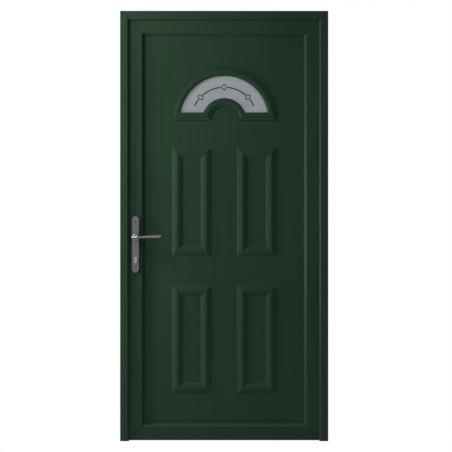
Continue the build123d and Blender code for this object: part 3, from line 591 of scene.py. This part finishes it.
def make_edge_wear():
    """Mask of the edges that hands and cloths rub pale."""
    group, n, given, out = effect_group(
        "edge_wear",
        [("Coordinates", "Vector", None), ("Width", "Float", 0.0012)],
        [("Mask", "Float")],
    )
    rounded = n.add("Bevel", {"samples": 4}, Radius=given["Width"])
    flat = n.add("NewGeometry")
    turn = n.add("VectorMath", {"operation": "DOT_PRODUCT"})
    n.feed(turn.inputs[0], rounded.outputs["Normal"])
    n.feed(turn.inputs[1], flat.outputs["Normal"])
    bend = n.spread(turn.outputs["Value"], 0.995, 0.90)
    patch = n.spread(n.noise(given["Coordinates"], 34.0, 4.0, 0.7), 0.42, 0.62)
    n.feed(out["Mask"], n.math("MULTIPLY", bend, patch, clamp=True))
    return group


def make_settled_dust():
    """Mask of what settles on the parts that face up."""
    group, n, given, out = effect_group(
        "settled_dust",
        [("Coordinates", "Vector", None), ("Amount", "Float", 0.3)],
        [("Mask", "Float")],
    )
    facing = n.add("NewGeometry")
    parts = n.add("SeparateXYZ", Vector=facing.outputs["Normal"])
    up = n.spread(parts.outputs["Z"], 0.2, 0.9)
    patch = n.spread(n.noise(given["Coordinates"], 80.0, 4.0, 0.65), 0.35, 0.65)
    n.feed(out["Mask"], n.math("MULTIPLY", n.math("MULTIPLY", up, patch), given["Amount"]))
    return group


def make_brushing():
    """Fine drawn lines of brushed or extruded metal, with a few deeper ones."""
    group, n, given, out = effect_group(
        "brushing",
        [("Along", "Vector", None), ("Coordinates", "Vector", None)],
        [("Shade", "Float"), ("Height", "Float"), ("Gloss", "Float")],
    )
    fine = n.noise(given["Along"], 700.0, 3.0, 0.6)
    broad = n.noise(given["Along"], 120.0, 2.0)
    smear = n.noise(given["Coordinates"], 25.0, 3.0)
    fine_shade = n.varied(fine, 0.90, 1.06)
    broad_shade = n.varied(broad, -0.05, 0.05)
    n.feed(out["Shade"], n.math("ADD", fine_shade, broad_shade))
    n.feed(out["Height"], fine)
    n.feed(out["Gloss"], n.varied(smear, -0.05, 0.07))
    return group


def make_mitre_seam():
    """Mask of the dark line where two mitred members meet: sealant, and painted shade in the joint.
    """
    group, n, given, out = effect_group(
        "mitre_seam",
        [
            ("Coordinates", "Vector", None),
            ("Corner X", "Float", 0.5),
            ("Top Z", "Float", 2.0),
            ("Low Z", "Float", 0.0),
        ],
        [("Mask", "Float")],
    )
    parts = n.add("SeparateXYZ", Vector=given["Coordinates"])
    inwards = n.math("SUBTRACT", given["Corner X"], n.math("ABSOLUTE", parts.outputs["X"]))
    below_top = n.math("SUBTRACT", given["Top Z"], parts.outputs["Z"])
    above_low = n.math("SUBTRACT", parts.outputs["Z"], given["Low Z"])
    off_seam = n.math(
        "MINIMUM",
        n.math("ABSOLUTE", n.math("SUBTRACT", inwards, below_top)),
        n.math("ABSOLUTE", n.math("SUBTRACT", inwards, above_low)),
    )
    n.feed(out["Mask"], n.spread(off_seam, SEAM_REACH, SEAM_CORE))
    return group


POWDER_COAT = make_powder_coat()
MITRE_SEAM = make_mitre_seam()
EDGE_WEAR = make_edge_wear()
SETTLED_DUST = make_settled_dust()
BRUSHING = make_brushing()


class Finish:
    """A material with its own shader, object coordinates and effects placed by name."""

    def __init__(self, name, **constants):
        self.material = bpy.data.materials.new(name)
        self.material.use_nodes = True
        self.n = Nodes(self.material.node_tree)
        self.shader = self.material.node_tree.nodes["Principled BSDF"]
        for key, value in constants.items():
            self.shader.inputs[key.replace("_", " ")].default_value = value
        self.where = self.n.add("TexCoord").outputs["Object"]

    def effect(self, group, **inputs):
        return self.n.add("Group", {"node_tree": group}, **inputs).outputs

    def set(self, socket, value):
        self.n.feed(self.shader.inputs[socket], value)

    def tinted(self, colour, factor):
        """The colour, lighter or darker by a factor that changes over the surface."""
        node = self.n.add("VectorMath", {"operation": "SCALE"})
        self.n.feed(node.inputs[0], colour[:3])
        self.n.feed(node.inputs["Scale"], factor)
        return node.outputs[0]

    def bump(self, height, strength, depth):
        node = self.n.add("Bump", Height=height, Strength=strength, Distance=depth)
        self.set("Normal", node.outputs["Normal"])


ALONG_Z = (1.0, 1.0, 0.035)
ALONG_X = (0.035, 1.0, 1.0)


def green_paint(name, colour, along, streaks=0.07, corners=None):
    """Satin powder coat on aluminium, with the seams of its mitres (sealant and painted shade) if
    corners are given.
    """
    finish = Finish(name, Specular_IOR_Level=0.05)
    n = finish.n
    coat = finish.effect(
        POWDER_COAT, Along=n.scaled(finish.where, along), Coordinates=finish.where, Streaks=streaks
    )
    wear = finish.effect(EDGE_WEAR, Coordinates=finish.where)
    dust = finish.effect(SETTLED_DUST, Coordinates=finish.where, Amount=PAINT_DUST)
    painted = finish.tinted(colour, coat["Shade"])
    coat_colour = n.mix(n.math("MULTIPLY", wear["Mask"], PAINT_WEAR), painted, WORN_GREEN)
    if corners:
        x, top, low = corners
        seam = finish.effect(MITRE_SEAM, Coordinates=finish.where, Corner_X=x, Top_Z=top, Low_Z=low)
        # Painted shade: the mitre joints are darkened towards near-black, as sealant and as the
        # shade of the gap between members
        coat_colour = n.mix(n.math("MULTIPLY", seam["Mask"], SEAM_DARKNESS), coat_colour, SEALANT_AND_SHADE)
    finish.set("Base Color", n.mix(dust["Mask"], coat_colour, DUST))
    finish.set("Roughness", n.math("ADD", coat["Gloss"], PAINT_ROUGHNESS))
    finish.bump(coat["Height"], strength=0.10, depth=0.0004)
    return finish.material


def bright_metal(name, colour, along, roughness, wear_share=0.0, height=0.06):
    """Brushed, drawn or plated metal."""
    finish = Finish(name, Metallic=1.0)
    n = finish.n
    lines = finish.effect(BRUSHING, Along=n.scaled(finish.where, along), Coordinates=finish.where)
    metal = finish.tinted(colour, lines["Shade"])
    if wear_share:
        wear = finish.effect(EDGE_WEAR, Coordinates=finish.where)
        metal = n.mix(n.math("MULTIPLY", wear["Mask"], wear_share), metal, CYLINDER_NICKEL)
    finish.set("Base Color", metal)
    finish.set("Roughness", n.math("ADD", lines["Gloss"], roughness))
    finish.bump(lines["Height"], strength=height, depth=0.0002)
    return finish.material


def soft_black(name, colour, roughness, grain_scale, dust_amount):
    """Rubber or glass-filled plastic."""
    finish = Finish(name, Specular_IOR_Level=0.35)
    n = finish.n
    grain = n.noise(finish.where, grain_scale, 3.0, 0.6)
    bloom = n.noise(finish.where, 12.0, 3.0)
    dust = finish.effect(SETTLED_DUST, Coordinates=finish.where, Amount=dust_amount)
    body = finish.tinted(colour, n.varied(bloom, 0.75, 1.35))
    finish.set("Base Color", n.mix(dust["Mask"], body, DUST))
    finish.set("Roughness", n.varied(grain, roughness - 0.06, roughness + 0.06))
    finish.bump(grain, strength=0.25, depth=0.0003)
    return finish.material


def panel_foam(name):
    """Pale rigid foam with fine cells."""
    finish = Finish(name, Roughness=0.9)
    n = finish.n
    cells = n.add("TexVoronoi", Vector=finish.where, Scale=700.0).outputs["Distance"]
    cloud = n.noise(finish.where, 30.0)
    finish.set("Base Color", finish.tinted(FOAM_CREAM, n.varied(cloud, 0.85, 1.05)))
    finish.bump(cells, strength=0.4, depth=0.0006)
    return finish.material


def satin_glass(name):
    """Glass etched on one face: milky, with the faint unevenness of the etch."""
    finish = Finish(name, Transmission_Weight=0.75, IOR=1.45, Specular_IOR_Level=0.4)
    n = finish.n
    etch = n.noise(finish.where, 420.0, 3.0, 0.6)
    cloud = n.noise(finish.where, 14.0, 2.0)
    finish.set("Base Color", finish.tinted(SATIN_WHITE, n.varied(cloud, 0.94, 1.0)))
    finish.set("Roughness", n.varied(cloud, 0.50, 0.62))
    finish.bump(etch, strength=0.12, depth=0.0002)
    return finish.material


def clear_glass(name):
    """Float glass with a few wiping marks."""
    finish = Finish(name, Transmission_Weight=1.0, IOR=1.5)
    n = finish.n
    wipe = n.noise(n.scaled(finish.where, (1.0, 1.0, 0.2)), 40.0, 4.0, 0.7)
    finish.set("Base Color", finish.tinted(CLEAR_TINT, n.varied(wipe, 0.97, 1.0)))
    finish.set("Roughness", n.spread(wipe, 0.45, 0.75, 0.02, 0.12))
    return finish.material


def decor_strip(name):
    """Soft grey metal came between the pane's etched fields."""
    finish = Finish(name, Metallic=0.25)
    n = finish.n
    tarnish = n.noise(finish.where, 45.0, 4.0, 0.65)
    finish.set("Base Color", finish.tinted(DECOR_GREY, n.varied(tarnish, 0.75, 1.3)))
    finish.set("Roughness", n.varied(tarnish, 0.38, 0.55))
    finish.bump(tarnish, strength=0.15, depth=0.0003)
    return finish.material


def handle_paint(name):
    """Grey satin coat on the handle plates, drawn along their length."""
    finish = Finish(name, Metallic=0.35)
    n = finish.n
    lines = finish.effect(BRUSHING, Along=n.scaled(finish.where, ALONG_Z), Coordinates=finish.where)
    wear = finish.effect(EDGE_WEAR, Coordinates=finish.where, Width=0.0008)
    coat = finish.tinted(PLATE_GREY, lines["Shade"])
    finish.set("Base Color", n.mix(n.math("MULTIPLY", wear["Mask"], 0.5), coat, LEVER_SATIN))
    finish.set("Roughness", n.math("ADD", lines["Gloss"], 0.36))
    finish.bump(lines["Height"], strength=0.05, depth=0.0002)
    return finish.material


FRAME_SEAMS = (-JAMB_LOW.x, JAMB_HIGH.z, NO_LOW_CORNER)
LEAF_SEAMS = (-STILE_LOW.x, STILE_HIGH.z, STILE_LOW.z)

FINISHES = {
    "frame_paint": green_paint("frame_green", FRAME_GREEN, ALONG_Z, corners=FRAME_SEAMS),
    "frame_paint_head": green_paint("head_green", FRAME_GREEN, ALONG_X, corners=FRAME_SEAMS),
    "leaf_paint": green_paint("stile_green", LEAF_GREEN, ALONG_Z, corners=LEAF_SEAMS),
    "leaf_paint_rail": green_paint("rail_green", LEAF_GREEN, ALONG_X, corners=LEAF_SEAMS),
    "panel_paint": green_paint("panel_green", LEAF_GREEN, ALONG_Z),
    "insulating_plastic": soft_black(
        "insulating_plastic", PLASTIC_BLACK, roughness=0.55, grain_scale=800.0, dust_amount=0.1
    ),
    "gasket_rubber": soft_black(
        "gasket_rubber", RUBBER_BLACK, roughness=0.72, grain_scale=500.0, dust_amount=0.25
    ),
    "mill_aluminium": bright_metal("mill_aluminium", MILL_ALUMINIUM, ALONG_Z, roughness=0.38),
    "panel_foam": panel_foam("panel_foam"),
    "satin_glass": satin_glass("satin_glass"),
    "clear_glass": clear_glass("clear_glass"),
    "decor_metal": decor_strip("decor_metal"),
    "plate_metal": handle_paint("plate_metal"),
    "lever_metal": bright_metal(
        "lever_metal", LEVER_SATIN, ALONG_X, roughness=0.20, wear_share=0.3, height=0.02
    ),
    "cylinder_metal": bright_metal(
        "cylinder_metal", CYLINDER_NICKEL, ALONG_Z, roughness=0.26, wear_share=0.2
    ),
    "screw_steel": bright_metal("screw_steel", SCREW_STEEL, ALONG_X, roughness=0.28),
    "lock_steel": bright_metal(
        "lock_steel", LOCK_ZINC, ALONG_Z, roughness=0.34, wear_share=0.3
    ),
    "hinge_paint": green_paint("hinge_green", FRAME_GREEN, ALONG_Z, streaks=0.06),
    "pin_steel": bright_metal("pin_steel", SCREW_STEEL, ALONG_Z, roughness=0.25),
}

SLOTS = {subpart["node"]: subpart["material_slot"] for subpart in frame["record"]["subparts"]}
LYING_MEMBERS = (("head_", "_head"), ("top_rail_", "_rail"), ("bottom_rail_", "_rail"))


def finish_of(node_name):
    """The material of a node; what lies along X has its grain along X."""
    finish_name = SLOTS[node_name]
    for start, suffix in LYING_MEMBERS:
        if node_name.startswith(start) and finish_name + suffix in FINISHES:
            finish_name += suffix
    return FINISHES[finish_name]


def put_in_place(piece, body, node_name):
    """Finish a new piece as the node that it stands for, and hang it on its body."""
    piece.data.materials.clear()
    piece.data.materials.append(finish_of(node_name))
    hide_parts(node_name)
    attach(piece, body)


for node_name, node in frame["nodes"].items():
    if not node.material_slots:
        node.data.materials.append(None)
    for place in node.material_slots:
        place.material = finish_of(node_name)

lever_outdoors = make_lever()
lever_indoors = mirrored(lever_outdoors, "lever_indoors", 0.0)
skin_outdoors = make_panel_skin()
panel_middle = (PANEL_OUTDOORS + PANEL_INDOORS) / 2
skin_indoors = mirrored(skin_outdoors, "skin_indoors", panel_middle)
put_in_place(lever_outdoors, "handle", "outer_lever")
put_in_place(lever_indoors, "handle", "inner_lever")
put_in_place(skin_outdoors, "leaf", "panel_outer_skin")
put_in_place(skin_indoors, "leaf", "panel_inner_skin")
put_in_place(make_plate_screws(), "leaf", "plate_screws")
for body, corners, seen_from, members in (
    ("frame", FRAME_CORNERS, FRAME_SEEN_FROM, FRAME_MEMBERS),
    ("leaf", LEAF_CORNERS, LEAF_SEEN_FROM, LEAF_MEMBERS),
):
    for member in members:
        node_name = member + "_outer_shell"
        put_in_place(soften_member(node_name, corners, seen_from), body, node_name)


def white_where_seen(tree, output, plain, white):
    """Show a white shader to the camera, in metal and through glass, and a plain one to light."""
    n = Nodes(tree)
    path = n.add("LightPath")
    seen = n.math("MAXIMUM", path.outputs["Is Camera Ray"], path.outputs["Is Glossy Ray"])
    seen = n.math("MAXIMUM", seen, path.outputs["Is Transmission Ray"])
    both = n.add("MixShader", Fac=seen)
    n.feed(both.inputs[1], plain.outputs[0])
    n.feed(both.inputs[2], white.outputs[0])
    n.feed(tree.nodes[output].inputs["Surface"], both.outputs[0])


nothing_selected()
bpy.ops.mesh.primitive_plane_add(size=FLOOR_SPAN, location=(0.0, 0.0, 0.0))
floor = bpy.context.object
floor.name = "floor"
floor_finish = Finish("floor_white", Base_Color=FLOOR_GREY, Roughness=0.9)
floor_glow = floor_finish.n.add("Emission", Color=WHITE, Strength=1.0)
floor_tree = floor_finish.material.node_tree
white_where_seen(floor_tree, "Material Output", floor_finish.shader, floor_glow)
floor.data.materials.append(floor_finish.material)

world = bpy.data.worlds.new("studio")
bpy.context.scene.world = world
world.use_nodes = True
surround = world.node_tree.nodes["Background"]
surround.inputs["Color"].default_value = WHITE
surround.inputs["Strength"].default_value = SOFT_LIGHT
backdrop = Nodes(world.node_tree).add("Background", Color=WHITE, Strength=1.0)
white_where_seen(world.node_tree, "World Output", surround, backdrop)


def softbox(name, place, target, width, height, watts):
    """A rectangular lamp turned towards a point."""
    lamp = bpy.data.lights.new(name, "AREA")
    lamp.shape = "RECTANGLE"
    lamp.size = width
    lamp.size_y = height
    lamp.energy = watts
    item = bpy.data.objects.new(name, lamp)
    bpy.context.scene.collection.objects.link(item)
    item.location = place
    item.rotation_euler = (Vector(target) - Vector(place)).to_track_quat("-Z", "Y").to_euler()


softbox("key_upper_left", (-1.5, -1.15, 2.60), (-0.1, 0.0, 1.30), 0.7, 0.7, 40.0)
softbox("side_left", (-1.8, -0.42, 1.12), (0.25, 0.0, 1.08), 0.3, 1.0, 38.0)
softbox("back_right", (1.4, 1.6, 1.6), (0.1, 0.0, 1.2), 0.9, 0.9, 42.0)

camera_data = bpy.data.cameras.new("camera")
camera = bpy.data.objects.new("camera", camera_data)
bpy.context.scene.collection.objects.link(camera)
camera.location = (CAMERA_X, FRONT_PLANE - CAMERA_DISTANCE, CAMERA_HEIGHT)
camera.rotation_euler = UPRIGHT
camera_data.sensor_width = SENSOR_WIDTH
camera_data.lens = SENSOR_WIDTH * CAMERA_DISTANCE / VIEW_WIDTH
bpy.context.scene.camera = camera
bpy.context.scene.view_settings.view_transform = "Standard"
